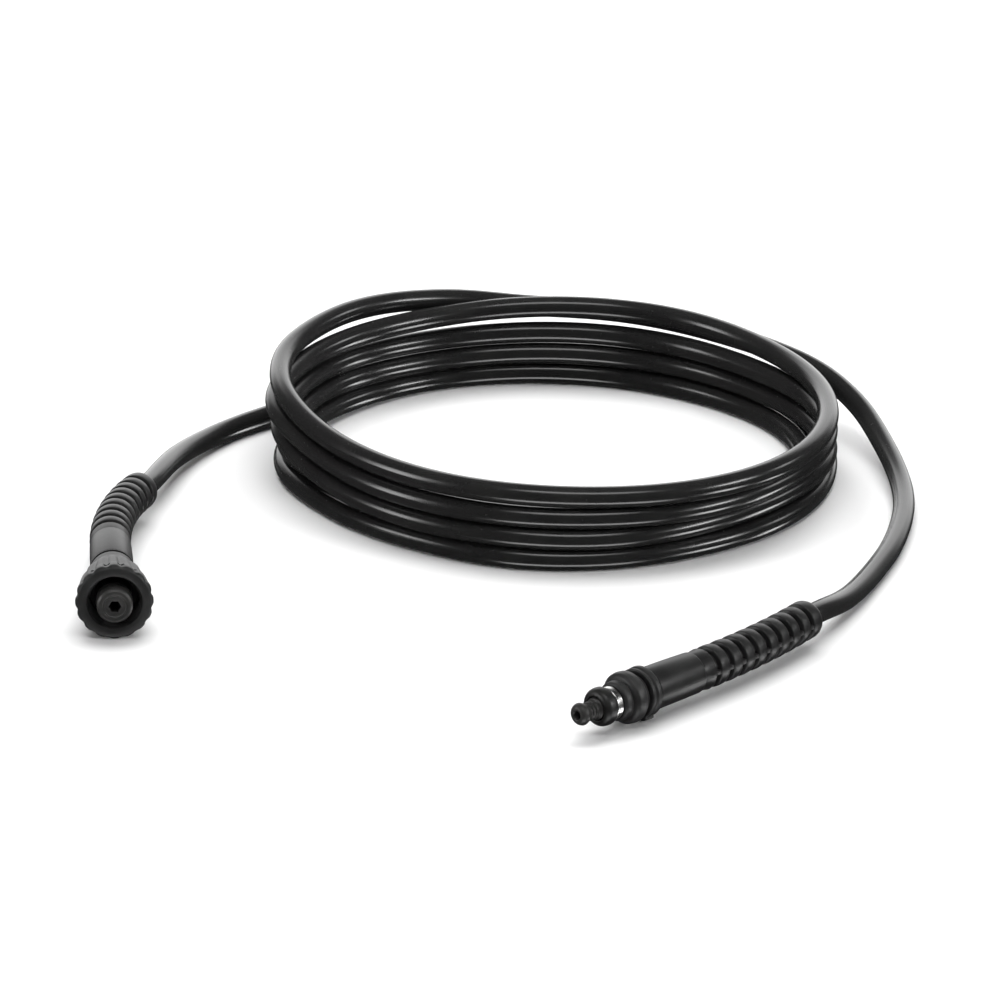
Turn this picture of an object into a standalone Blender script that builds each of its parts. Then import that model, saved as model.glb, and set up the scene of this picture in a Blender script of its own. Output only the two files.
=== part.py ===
"""Pressure washer hose: a light hose in a stacked coil, with a screw union and a plug on its ends.

Metres, +Z up. The coil lies flat on the floor, and the union points along -Y. The origin is on the floor, in
the middle of the outer box. Each fitting is turned about its own local Z, which runs from its mouth towards
the hose, and stands under an empty at its mouth.
"""

import math

import bmesh
import bpy
from mathutils import Matrix, Vector

# General
CLEARANCE = 0.0003
FACETS = 24

# Hose and its coil
HOSE_RADIUS = 0.0045
COIL_RADIUS = 0.1165
COIL_LAYERS = 4
LAYER_PITCH = 0.0093
COIL_FACETS = 48
NECK_ANGLE = math.radians(62)
COIL_X = 0.0226
COIL_Y = 0.0891
TAIL_STEP = 0.016
EXIT_RUN = 0.006

# Bend protectors, the same moulding on both ends
SLEEVE_RADIUS = 0.0090
SLEEVE_END_RADIUS = 0.0086
RIB_END_RADIUS = 0.0081
GROOVE_DEPTH = 0.0022
GROOVE_WIDTH = 0.0028
GROOVE_PITCH = 0.00775
GROOVES = 9
END_COLLAR = 0.0072
EDGE = 0.0006
LEAD_IN = 0.0060
STEM_TAIL_RADIUS = 0.0062
STEM_TAIL_END = 0.0600
BEND_START = 0.0660

# Screw union: nut and nipple
NUT_RADIUS = 0.0160
NUT_LENGTH = 0.0380
NUT_RIM = 0.0042
NUT_GRIP_END = 0.0180
NUT_GRIP_END_RADIUS = 0.0137
NUT_COLLAR_START = 0.0315
NUT_COLLAR_RADIUS = 0.0094
NUT_LOBES = 16
LOBE_DEPTH = 0.0019
RIM_LOBE_DEPTH = 0.0007
THREAD_BORE_RADIUS = 0.0110
NIPPLE_RADIUS = 0.0074
NIPPLE_PROUD = 0.0045
NIPPLE_BORE_RADIUS = 0.00245
STEM_FLANGE_RADIUS = 0.0102
STEM_FLANGE_START = 0.0135
STEM_FLANGE = 0.0040
UNION_X = -0.1805
UNION_Y = -0.1938
UNION_HEADING = math.radians(93.7)
UNION_BEND = math.radians(-22.5)
UNION_BEND_TILT = math.radians(13)

# Plug
TIP_RADIUS = 0.0046
TIP_LENGTH = 0.0050
TIP_NECK_RADIUS = 0.0034
TIP_BORE_RADIUS = 0.0016
STEM_RADIUS = 0.0046
SEAL_START = 0.0105
SEAL_LENGTH = 0.0060
SEAL_RADIUS = 0.0080
SEAL_EDGE_RADIUS = 0.0060
BRIGHT_RING = 0.0036
BRIGHT_RING_RADIUS = 0.0067
BODY_NOSE = 0.0042
BODY_NOSE_RADIUS = 0.0082
BODY_DISC = 0.0062
BODY_DISC_RADIUS = 0.0108
BODY_NECK = 0.0020
BODY_NECK_RADIUS = 0.0086
LOCK_COLLAR = 0.0060
LOCK_COLLAR_RADIUS = 0.0105
TAB_REACH = 0.0011
TAB_WIDTH = 0.0034
TAB_LENGTH = 0.0036
TAB_ANGLE = math.radians(-70)
PLUG_X = 0.0068
PLUG_Y = -0.3070
PLUG_HEADING = math.radians(45.2)
PLUG_BEND = math.radians(13)

# The route of each free end, from its bend protector towards the coil: x, y and height, counted from the
# coil's centre on the floor
UNION_TAIL = [
    (-0.1667, -0.0194, 0.0105),
    (-0.1614, 0.0019, 0.0084),
    (-0.1533, 0.0233, 0.0062),
    (-0.1448, 0.0391, 0.0050),
]
PLUG_TAIL = [
    (0.1158, -0.1719, 0.0079),
    (0.1236, -0.1518, 0.0058),
    (0.1309, -0.1295, 0.0049),
    (0.1384, -0.1044, 0.0047),
    (0.1436, -0.0795, 0.0047),
    (0.1468, -0.0535, 0.0048),
    (0.1465, -0.0225, 0.0060),
    (0.1428, 0.0015, 0.0090),
]

# Where each free end nears the coil and lies against it or on it: degrees round the coil from +X, distance
# outside COIL_RADIUS, and height
UNION_WRAP = [
    (159.7, 0.0288, 0.0047),
    (153.8, 0.0232, 0.0047),
    (146.5, 0.0175, 0.0047),
    (139.5, 0.0139, 0.0047),
    (134.2, 0.0124, 0.0047),
]
PLUG_WRAP = [
    (8.2, 0.0234, 0.0120),
    (15.9, 0.0218, 0.0156),
    (24.3, 0.0196, 0.0202),
    (31.8, 0.0168, 0.0248),
    (38.5, 0.0137, 0.0276),
    (52.0, 0.0114, 0.0296),
    (67.1, 0.0102, 0.0306),
    (82.0, 0.0104, 0.0314),
    (97.0, 0.0108, 0.0332),
    (106.8, 0.0104, 0.0370),
    (115.0, 0.0085, 0.0402),
    (123.9, 0.0066, 0.0418),
    (136.8, 0.0049, 0.0420),
    (148.4, 0.0038, 0.0420),
    (160.5, 0.0031, 0.0420),
    (172.1, 0.0028, 0.0420),
]

# Sizes that follow from the ones above
HOSE_SOCKET_RADIUS = HOSE_RADIUS + CLEARANCE
NUT_BACK_BORE = STEM_TAIL_RADIUS + CLEARANCE
FIRST_GROOVE = BEND_START + LEAD_IN
LAST_GROOVE_END = FIRST_GROOVE + (GROOVES - 1) * GROOVE_PITCH + GROOVE_WIDTH
PROTECTOR_END = LAST_GROOVE_END + END_COLLAR
HOSE_START = STEM_TAIL_END + CLEARANCE
RING_START = SEAL_START + SEAL_LENGTH + CLEARANCE
BODY_START = RING_START + BRIGHT_RING + CLEARANCE
BODY_LENGTH = BODY_NOSE + BODY_DISC + BODY_NECK
COLLAR_START = BODY_START + BODY_LENGTH + CLEARANCE
PLUG_SLEEVE_START = COLLAR_START + LOCK_COLLAR + CLEARANCE
TAB_RADIUS = LOCK_COLLAR_RADIUS + TAB_REACH
UNION_HEIGHT = NUT_RADIUS
TAB_DROP = TAB_RADIUS * abs(math.sin(TAB_ANGLE)) + TAB_WIDTH / 2 * math.cos(TAB_ANGLE)
PLUG_HEIGHT = max(LOCK_COLLAR_RADIUS, TAB_DROP)


def clear_scene():
    for obj in list(bpy.data.objects):
        bpy.data.objects.remove(obj, do_unlink=True)


def make_material(name, colour, roughness, metallic=0.0):
    material = bpy.data.materials.new(name)
    material.use_nodes = True
    shader = material.node_tree.nodes["Principled BSDF"]
    shader.inputs["Base Color"].default_value = (*colour, 1.0)
    shader.inputs["Roughness"].default_value = roughness
    shader.inputs["Metallic"].default_value = metallic
    return material


def make_mount_point(name, x, y, z, heading):
    """An empty at a fitting's mouth: its local Z runs back along the fitting, its local Y is up."""
    back = Vector((math.cos(heading), math.sin(heading), 0.0))
    up = Vector((0.0, 0.0, 1.0))
    side = up.cross(back)
    empty = bpy.data.objects.new(name, None)
    bpy.context.collection.objects.link(empty)
    turn = Matrix((side, up, back)).transposed().to_4x4()
    empty.matrix_world = Matrix.Translation((COIL_X + x, COIL_Y + y, z)) @ turn
    return empty


def finish_object(name, bm, material, parent=None):
    bmesh.ops.remove_doubles(bm, verts=bm.verts, dist=1e-6)
    bmesh.ops.recalc_face_normals(bm, faces=bm.faces)
    mesh = bpy.data.meshes.new(name)
    bm.to_mesh(mesh)
    bm.free()
    mesh.materials.append(material)
    mesh.shade_smooth()
    mesh.set_sharp_from_angle(angle=math.radians(35))
    obj = bpy.data.objects.new(name, mesh)
    bpy.context.collection.objects.link(obj)
    obj.parent = parent
    return obj


def spin_profile(profile, facets=FACETS):
    """A closed outline of (distance along the axis, radius) points turned about local Z."""
    bm = bmesh.new()
    verts = [bm.verts.new((radius, 0.0, along)) for along, radius in profile]
    edges = [bm.edges.new((verts[i - 1], verts[i])) for i in range(len(verts))]
    bmesh.ops.spin(bm, geom=verts + edges, axis=(0, 0, 1), cent=(0, 0, 0), steps=facets, angle=2 * math.pi)
    return bm


def bend_point(point, angle, tilt):
    """Carries a point of a straight fitting onto the arc that the fitting follows beyond BEND_START."""
    along = point.z - BEND_START
    if along <= 0.0 or angle == 0.0:
        return point.copy()
    radius = (PROTECTOR_END - BEND_START) / abs(angle)
    turn = along / radius
    # With local Y up and Z back, local X points to the left, and a positive bend turns the fitting that way.
    towards = Vector((math.copysign(math.cos(tilt), angle), -math.sin(tilt), 0.0))
    across = Vector((-towards.y, towards.x, 0.0))
    inward = point.dot(towards)
    reach = radius - inward
    bent = towards * (radius - reach * math.cos(turn)) + across * point.dot(across)
    bent.z = BEND_START + reach * math.sin(turn)
    return bent


def make_protector(name, start, angle, tilt, material, parent):
    """Smooth sleeve, ribs with grooves between them, and the end collar that the hose leaves by."""
    outline = [(start, SLEEVE_RADIUS - EDGE), (start + EDGE, SLEEVE_RADIUS), (BEND_START, SLEEVE_END_RADIUS)]
    for i in range(GROOVES):
        front = FIRST_GROOVE + i * GROOVE_PITCH
        rib = SLEEVE_END_RADIUS + (RIB_END_RADIUS - SLEEVE_END_RADIUS) * i / (GROOVES - 1)
        floor = rib - GROOVE_DEPTH
        outline += [(front, rib), (front, floor), (front + GROOVE_WIDTH, floor), (front + GROOVE_WIDTH, rib)]
    outline += [(PROTECTOR_END - EDGE, RIB_END_RADIUS), (PROTECTOR_END, RIB_END_RADIUS - EDGE)]
    outline.append((PROTECTOR_END, HOSE_SOCKET_RADIUS))
    for i in reversed(range(GROOVES)):
        outline.append((FIRST_GROOVE + i * GROOVE_PITCH, HOSE_SOCKET_RADIUS))
    outline.append((BEND_START, HOSE_SOCKET_RADIUS))
    outline += [(HOSE_START, HOSE_SOCKET_RADIUS), (HOSE_START, NUT_BACK_BORE), (start, NUT_BACK_BORE)]
    bm = spin_profile(outline)
    for vert in bm.verts:
        vert.co = bend_point(vert.co, angle, tilt)
    return finish_object(name, bm, material, parent)


def make_nut(material, parent):
    """Coupling nut: a scalloped rim, grip lobes that run out into a plain collar, and a stepped bore."""
    per_lobe = 6
    count = NUT_LOBES * per_lobe
    shoulder = STEM_FLANGE_START + STEM_FLANGE + CLEARANCE
    stations = [
        (0.0, NUT_RADIUS - EDGE, RIM_LOBE_DEPTH),
        (EDGE, NUT_RADIUS, RIM_LOBE_DEPTH),
        (NUT_RIM, NUT_RADIUS, RIM_LOBE_DEPTH),
        (NUT_RIM + EDGE, NUT_RADIUS - EDGE / 2, LOBE_DEPTH),
        (NUT_GRIP_END, NUT_GRIP_END_RADIUS, LOBE_DEPTH),
        (NUT_COLLAR_START, NUT_COLLAR_RADIUS, 0.0),
        (NUT_LENGTH - EDGE, NUT_COLLAR_RADIUS, 0.0),
        (NUT_LENGTH, NUT_COLLAR_RADIUS - EDGE, 0.0),
        (NUT_LENGTH, NUT_BACK_BORE, 0.0),
        (shoulder, NUT_BACK_BORE, 0.0),
        (shoulder, THREAD_BORE_RADIUS, 0.0),
        (EDGE, THREAD_BORE_RADIUS, 0.0),
        (0.0, THREAD_BORE_RADIUS + EDGE, 0.0),
    ]
    bm = bmesh.new()
    rings = []
    for along, radius, depth in stations:
        ring = []
        for i in range(count):
            angle = 2 * math.pi * i / count - math.pi / 2
            dip = depth * (0.5 - 0.5 * math.cos(NUT_LOBES * (angle + math.pi / 2))) ** 2
            reach = radius - dip
            ring.append(bm.verts.new((reach * math.cos(angle), reach * math.sin(angle), along)))
        rings.append(ring)
    for k, ring in enumerate(rings):
        after = rings[(k + 1) % len(rings)]
        for i in range(count):
            j = (i + 1) % count
            bm.faces.new((ring[i], ring[j], after[j], after[i]))
    return finish_object("union_nut", bm, material, parent)


def make_union_stem(material, parent):
    """Nipple that stands out of the nut, the flange that the nut pulls on, and the tail inside the sleeve."""
    flange_end = STEM_FLANGE_START + STEM_FLANGE
    outline = [
        (-NIPPLE_PROUD, NIPPLE_BORE_RADIUS),
        (-NIPPLE_PROUD, NIPPLE_RADIUS - EDGE),
        (-NIPPLE_PROUD + EDGE, NIPPLE_RADIUS),
        (STEM_FLANGE_START, NIPPLE_RADIUS),
        (STEM_FLANGE_START, STEM_FLANGE_RADIUS),
        (flange_end, STEM_FLANGE_RADIUS),
        (flange_end, STEM_TAIL_RADIUS),
        (STEM_TAIL_END, STEM_TAIL_RADIUS),
        (STEM_TAIL_END, NIPPLE_BORE_RADIUS),
    ]
    return finish_object("union_stem", spin_profile(outline), material, parent)


def make_plug_stem(material, parent):
    """Bored stem: rounded tip, neck, the shank under the seal and rings, and the tail in the sleeve."""
    neck_end = SEAL_START - CLEARANCE
    steps = 6
    outline = [(0.0, TIP_BORE_RADIUS)]
    for i in range(steps + 1):
        angle = math.pi * i / steps
        radius = TIP_NECK_RADIUS + (TIP_RADIUS - TIP_NECK_RADIUS) * math.sin(angle)
        outline.append((TIP_LENGTH / 2 * (1 - math.cos(angle)), radius))
    outline += [
        (neck_end - EDGE, TIP_NECK_RADIUS),
        (neck_end, STEM_RADIUS),
        (COLLAR_START, STEM_RADIUS),
        (COLLAR_START, STEM_TAIL_RADIUS),
        (STEM_TAIL_END, STEM_TAIL_RADIUS),
        (STEM_TAIL_END, TIP_BORE_RADIUS),
    ]
    return finish_object("plug_stem", spin_profile(outline), material, parent)


def make_plug_seal(material, parent):
    """Fat rounded sealing ring behind the neck."""
    middle = SEAL_START + SEAL_LENGTH / 2
    bore = STEM_RADIUS + CLEARANCE
    steps = 7
    outline = [(SEAL_START + SEAL_LENGTH, bore), (SEAL_START, bore)]
    for i in range(steps + 1):
        angle = math.pi * i / steps
        radius = SEAL_EDGE_RADIUS + (SEAL_RADIUS - SEAL_EDGE_RADIUS) * math.sin(angle) ** 0.5
        outline.append((middle - SEAL_LENGTH / 2 * math.cos(angle), radius))
    return finish_object("plug_seal", spin_profile(outline), material, parent)


def make_plug_ring(material, parent):
    """Bright metal ring between the seal and the body."""
    bore = STEM_RADIUS + CLEARANCE
    end = RING_START + BRIGHT_RING
    outline = [
        (RING_START, bore),
        (RING_START, BRIGHT_RING_RADIUS - EDGE),
        (RING_START + EDGE, BRIGHT_RING_RADIUS),
        (end, BRIGHT_RING_RADIUS),
        (end, bore),
    ]
    return finish_object("plug_ring", spin_profile(outline), material, parent)


def make_plug_body(material, parent):
    """Stepped body: a smaller nose, the large disc, and the neck that the lock collar follows."""
    bore = STEM_RADIUS + CLEARANCE
    disc = BODY_START + BODY_NOSE
    neck = disc + BODY_DISC
    end = neck + BODY_NECK
    outline = [
        (BODY_START, bore),
        (BODY_START, BODY_NOSE_RADIUS - 2 * EDGE),
        (BODY_START + EDGE, BODY_NOSE_RADIUS),
        (disc, BODY_NOSE_RADIUS),
        (disc, BODY_DISC_RADIUS - EDGE),
        (disc + EDGE, BODY_DISC_RADIUS),
        (neck - EDGE, BODY_DISC_RADIUS),
        (neck, BODY_DISC_RADIUS - EDGE),
        (neck, BODY_NECK_RADIUS),
        (end, BODY_NECK_RADIUS),
        (end, bore),
    ]
    return finish_object("plug_body", spin_profile(outline), material, parent)


def make_lock_collar(material, parent):
    """Collar behind the body, with the small stop tab that reaches below it."""
    bore = STEM_TAIL_RADIUS + CLEARANCE
    end = COLLAR_START + LOCK_COLLAR
    outline = [
        (COLLAR_START + CLEARANCE, bore),
        (COLLAR_START + CLEARANCE, LOCK_COLLAR_RADIUS - EDGE),
        (COLLAR_START + CLEARANCE + EDGE, LOCK_COLLAR_RADIUS),
        (end - 2 * EDGE, LOCK_COLLAR_RADIUS),
        (end, LOCK_COLLAR_RADIUS - EDGE),
        (end, bore),
    ]
    collar = finish_object("plug_lock_collar", spin_profile(outline), material, parent)
    root = BODY_NECK_RADIUS
    tab = bmesh.new()
    bmesh.ops.create_cube(tab, size=1.0)
    size = Matrix.Diagonal((TAB_RADIUS - root, TAB_WIDTH, TAB_LENGTH, 1.0))
    place = Matrix.Translation(((TAB_RADIUS + root) / 2, 0.0, COLLAR_START + LOCK_COLLAR / 2))
    turn = Matrix.Rotation(math.pi - TAB_ANGLE, 4, "Z")
    tab.transform(turn @ place @ size)
    cutter = finish_object("stop_tab_shape", tab, material, parent)
    cutter.hide_render = True
    cutter.display_type = "WIRE"
    union = collar.modifiers.new("stop_tab", "BOOLEAN")
    union.operation = "UNION"
    union.object = cutter
    return collar


def make_coil(material):
    """The stacked turns as one turned ring, with a scallop for each layer inside and outside."""
    angles = [-NECK_ANGLE, -NECK_ANGLE / 3, NECK_ANGLE / 3, NECK_ANGLE]
    centres = [HOSE_RADIUS + i * LAYER_PITCH for i in range(COIL_LAYERS)]
    outer = []
    inner = []
    for centre in centres:
        for angle in angles:
            height = centre + HOSE_RADIUS * math.sin(angle)
            bulge = HOSE_RADIUS * math.cos(angle)
            outer.append((height, COIL_RADIUS + bulge))
            inner.append((height, COIL_RADIUS - bulge))
    bottom = [(0.0, COIL_RADIUS)]
    top = [(centres[-1] + HOSE_RADIUS, COIL_RADIUS)]
    bm = spin_profile(bottom + outer + top + inner[::-1], COIL_FACETS)
    coil = finish_object("hose_coil", bm, material)
    coil.location = (COIL_X, COIL_Y, 0.0)
    return coil


def smooth_points(points, step):
    """Even steps along a Catmull-Rom curve through the given points."""
    per_span = 12
    ends = [points[0] * 2 - points[1]] + points + [points[-1] * 2 - points[-2]]
    fine = []
    for a, b, c, d in zip(ends, ends[1:], ends[2:], ends[3:]):
        for i in range(per_span):
            t = i / per_span
            bend = (a * 2 - b * 5 + c * 4 - d) * t**2 + (b * 3 - a - c * 3 + d) * t**3
            fine.append((b * 2 + (c - a) * t + bend) / 2)
    fine.append(points[-1])
    total = sum((q - p).length for p, q in zip(fine, fine[1:]))
    count = max(2, round(total / step))
    result = [fine[0]]
    walked = 0.0
    for p, q in zip(fine, fine[1:]):
        length = (q - p).length
        while len(result) < count and walked + length >= total * len(result) / count:
            share = (total * len(result) / count - walked) / length
            result.append(p.lerp(q, share))
        walked += length
    result.append(fine[-1])
    return result


def make_tail(name, mouth, angle, tilt, route, wrap, material):
    """Hose from the stem's end, through the bend protector, straight out of it and along its route."""
    guides = 6
    points = []
    for i in range(guides + 1):
        along = HOSE_START + CLEARANCE + (PROTECTOR_END + EXIT_RUN - HOSE_START) * i / guides
        points.append(mouth.matrix_world @ bend_point(Vector((0.0, 0.0, along)), angle, tilt))
    points += [Vector((COIL_X + x, COIL_Y + y, z)) for x, y, z in route]
    for degrees, outside, z in wrap:
        around = math.radians(degrees)
        reach = COIL_RADIUS + outside
        points.append(Vector((COIL_X + reach * math.cos(around), COIL_Y + reach * math.sin(around), z)))
    path = smooth_points(points, TAIL_STEP)
    curve = bpy.data.curves.new(name, "CURVE")
    curve.dimensions = "3D"
    curve.bevel_depth = HOSE_RADIUS
    curve.bevel_resolution = 3
    curve.use_fill_caps = True
    spline = curve.splines.new("POLY")
    spline.points.add(len(path) - 1)
    for spline_point, place in zip(spline.points, path):
        spline_point.co = (*place, 1.0)
    curve.materials.append(material)
    tail = bpy.data.objects.new(name, curve)
    bpy.context.collection.objects.link(tail)
    return tail


def main():
    clear_scene()
    rubber = make_material("hose_rubber", (0.020, 0.020, 0.019), 0.42)
    grip = make_material("nut_plastic", (0.045, 0.045, 0.046), 0.55)
    boot = make_material("protector_rubber", (0.050, 0.050, 0.051), 0.60)
    nylon = make_material("stem_plastic", (0.065, 0.064, 0.062), 0.45)
    seal = make_material("seal_rubber", (0.025, 0.025, 0.024), 0.50)
    metal = make_material("ring_steel", (0.75, 0.75, 0.74), 0.25, 1.0)

    union = make_mount_point("union_mouth", UNION_X, UNION_Y, UNION_HEIGHT, UNION_HEADING)
    plug = make_mount_point("plug_mouth", PLUG_X, PLUG_Y, PLUG_HEIGHT, PLUG_HEADING)
    bpy.context.view_layer.update()

    make_coil(rubber)
    make_tail("hose_tail_union", union, UNION_BEND, UNION_BEND_TILT, UNION_TAIL, UNION_WRAP, rubber)
    make_tail("hose_tail_plug", plug, PLUG_BEND, 0.0, PLUG_TAIL, PLUG_WRAP, rubber)

    make_nut(grip, union)
    make_union_stem(nylon, union)
    union_sleeve_start = NUT_LENGTH + CLEARANCE
    make_protector("bend_protector_union", union_sleeve_start, UNION_BEND, UNION_BEND_TILT, boot, union)

    make_plug_stem(nylon, plug)
    make_plug_seal(seal, plug)
    make_plug_ring(metal, plug)
    make_plug_body(grip, plug)
    make_lock_collar(grip, plug)
    make_protector("bend_protector_plug", PLUG_SLEEVE_START, PLUG_BEND, 0.0, boot, plug)


main()
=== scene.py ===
"""Looks of the pressure washer hose: its coil of black rubber, the screw union, the gun plug and the studio.

Metres, +Z up, the floor at zero. Every piece is a surface worked out on a grid, rows along it and columns
round it, and stands where the solid that it replaces stands. The sizes repeat those of the solids.
"""

import logging
from collections.abc import Sequence
from dataclasses import dataclass, field
from enum import Enum

import bpy
import numpy as np
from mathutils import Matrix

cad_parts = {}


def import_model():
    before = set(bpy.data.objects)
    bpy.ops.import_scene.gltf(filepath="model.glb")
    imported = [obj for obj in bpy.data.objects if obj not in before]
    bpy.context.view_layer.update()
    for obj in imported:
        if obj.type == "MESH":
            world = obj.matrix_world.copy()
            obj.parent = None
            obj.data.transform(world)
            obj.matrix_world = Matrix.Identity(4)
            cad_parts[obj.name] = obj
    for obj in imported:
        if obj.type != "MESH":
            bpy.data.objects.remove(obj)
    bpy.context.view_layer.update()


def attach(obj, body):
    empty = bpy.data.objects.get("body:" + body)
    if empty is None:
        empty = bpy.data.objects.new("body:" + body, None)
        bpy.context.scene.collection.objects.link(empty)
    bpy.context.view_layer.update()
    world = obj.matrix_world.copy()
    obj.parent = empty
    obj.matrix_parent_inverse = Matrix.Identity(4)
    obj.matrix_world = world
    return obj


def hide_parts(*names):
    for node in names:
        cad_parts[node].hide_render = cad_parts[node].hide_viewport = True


LOG = logging.getLogger("hose")
MM = 0.001
SHARP_EDGE = np.radians(42)
FULL_TURN = 2 * np.pi
Colour = tuple[float, float, float]
Points = Sequence[tuple[float, float, float]]


class Body(Enum):
    """The moving bodies of the frame."""

    HOSE = "hose"
    NUT = "nut"


class Slot(Enum):
    """Names of material slots."""

    HOSE = "hose_rubber"
    NUT = "nut_plastic"
    BOOT = "protector_rubber"
    STEM = "stem_plastic"
    SEAL = "seal_rubber"
    RING = "ring_steel"


# Shader building


class Wire:
    """A shader value: an output socket that Python's operators turn into Math nodes."""

    def __init__(self, graph: "Graph", socket: bpy.types.NodeSocket) -> None:
        """Keeps the socket and the graph that it belongs to."""
        self.graph = graph
        self.socket = socket

    def __add__(self, other: "Wire | float") -> "Wire":
        """Sum."""
        return self.graph.maths("ADD", self, other)

    def __sub__(self, other: "Wire | float") -> "Wire":
        """Difference."""
        return self.graph.maths("SUBTRACT", self, other)

    def __rsub__(self, other: float) -> "Wire":
        """Difference, from a number."""
        return self.graph.maths("SUBTRACT", other, self)

    def __mul__(self, other: "Wire | float") -> "Wire":
        """Product."""
        return self.graph.maths("MULTIPLY", self, other)

    __radd__ = __add__
    __rmul__ = __mul__

    def sine(self) -> "Wire":
        """Sine of the value."""
        return self.graph.maths("SINE", self)

    def size(self) -> "Wire":
        """The value without its sign."""
        return self.graph.maths("ABSOLUTE", self)

    def between(self, low: float, high: float) -> "Wire":
        """A smooth step.

        Args:
            low: Where the step is still 0.
            high: Where it has reached 1.

        Returns:
            0 to 1.
        """
        values = {"Value": self, "From Min": low, "From Max": high}
        return self.graph.node("ShaderNodeMapRange", {"interpolation_type": "SMOOTHSTEP"}, values)


class Graph:
    """The node tree of one material or world."""

    def __init__(self, tree: bpy.types.NodeTree) -> None:
        """Keeps the tree, emptied."""
        self.tree = tree
        tree.nodes.clear()

    def node(self, kind: str, settings: dict | None = None, sockets: dict | None = None,
             out: int | str = 0) -> Wire:
        """Adds one node.

        Args:
            kind: Its type name.
            settings: Its own settings, set first.
            sockets: Values or wires for its inputs, by name or number.
            out: The output to hand back.

        Returns:
            That output.
        """
        node = self.tree.nodes.new(kind)
        for name, value in (settings or {}).items():
            setattr(node, name, value)
        for name, value in (sockets or {}).items():
            if isinstance(value, Wire):
                self.tree.links.new(value.socket, node.inputs[name])
            else:
                node.inputs[name].default_value = value
        return Wire(self, node.outputs[out]) if node.outputs else Wire(self, node.inputs[0])

    def maths(self, operation: str, *values: Wire | float) -> Wire:
        """A Math node.

        Args:
            operation: The node's operation.
            values: Its inputs in order, wires or numbers.

        Returns:
            The node's result.
        """
        return self.node("ShaderNodeMath", {"operation": operation}, dict(enumerate(values)))

    def noise(self, place: Wire, scale: float, detail: float = 2.0) -> Wire:
        """Cloudy values round 0.5, with `scale` swellings to the metre, or to the unit of `place`."""
        sockets = {"Vector": place, "Scale": scale, "Detail": detail, "Roughness": 0.55}
        return self.node("ShaderNodeTexNoise", {}, sockets)

    def tint(self, share: Wire, low: Colour, high: Colour) -> Wire:
        """A colour between two.

        Args:
            share: 0 for low, 1 for high.
            low: First colour.
            high: Second colour.

        Returns:
            The mixed colour.
        """
        sockets = {0: share, 6: (*low, 1.0), 7: (*high, 1.0)}
        return self.node("ShaderNodeMix", {"data_type": "RGBA"}, sockets, 2)

    def relief(self, height: Wire, depth: float, strength: float) -> Wire:
        """A bumped normal.

        Args:
            height: 0 to 1.
            depth: Metres that 1 stands for.
            strength: Share of the effect.

        Returns:
            The normal.
        """
        sockets = {"Height": height, "Distance": depth, "Strength": strength}
        return self.node("ShaderNodeBump", {}, sockets)


# Finishes


@dataclass(frozen=True)
class Finish:
    """What every finish has: a name, two close tones, and its gloss."""

    name: str
    low: Colour
    high: Colour
    roughness: float
    slot: Slot
    metallic: float = 0.0
    ior: float = 1.5

    def material(self) -> bpy.types.Material:
        """Builds the material.

        Returns:
            The finished material.
        """
        material = bpy.data.materials.new(self.name)
        material.use_nodes = True
        graph = Graph(material.node_tree)
        sockets = self.surface(graph)
        sockets.update({"Metallic": self.metallic, "IOR": self.ior})
        shader = graph.node("ShaderNodeBsdfPrincipled", {}, sockets)
        graph.node("ShaderNodeOutputMaterial", {}, {"Surface": shader})
        return material

    def surface(self, graph: Graph) -> dict:
        """The sockets that vary over the surface: here a fine moulded grain with slow clouds of tone.

        Args:
            graph: The material's graph.

        Returns:
            Socket names and wires.
        """
        place = graph.node("ShaderNodeTexCoord", {}, {}, "Object")
        clouds = graph.noise(place, 90.0, 3.0)
        grain = graph.noise(place, 2600.0, 2.0)
        return {
            "Base Color": graph.tint(clouds.between(0.35, 0.65), self.low, self.high),
            "Roughness": self.roughness + (grain - 0.5) * 0.16 + (clouds - 0.5) * 0.12,
            "Normal": graph.relief(grain, 0.00004, 0.55),
        }


@dataclass(frozen=True)
class HoseRubber(Finish):
    """Glossy black rubber with the fine diagonal imprint of the cloth that it was cured in."""

    cells_round: int = 16
    cell_length: float = 0.0017

    def surface(self, graph: Graph) -> dict:
        """Imprint: the product of two sine waves that run round the hose as opposite spirals.

        Args:
            graph: The material's graph.

        Returns:
            Socket names and wires.
        """
        flat = graph.node("ShaderNodeTexCoord", {}, {}, "UV")
        split = graph.node("ShaderNodeSeparateXYZ", {}, {"Vector": flat}, "X")
        around = Wire(graph, split.socket.node.outputs["Y"])
        along = split * (FULL_TURN / self.cell_length)
        turn = around * (FULL_TURN * self.cells_round)
        imprint = (along + turn).sine() * (along - turn).sine()
        place = graph.node("ShaderNodeTexCoord", {}, {}, "Object")
        clouds = graph.noise(place, 60.0, 3.0)
        scuffs = graph.noise(place, 700.0, 4.0)
        dust = scuffs.between(0.62, 0.80)
        return {
            "Base Color": graph.tint(dust * 0.6 + clouds.between(0.4, 0.7) * 0.4, self.low, self.high),
            "Roughness": self.roughness + dust * 0.12 + (clouds - 0.5) * 0.08 + imprint * 0.03,
            "Normal": graph.relief(imprint * 0.5 + 0.5, 0.00006, 0.16),
        }


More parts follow.
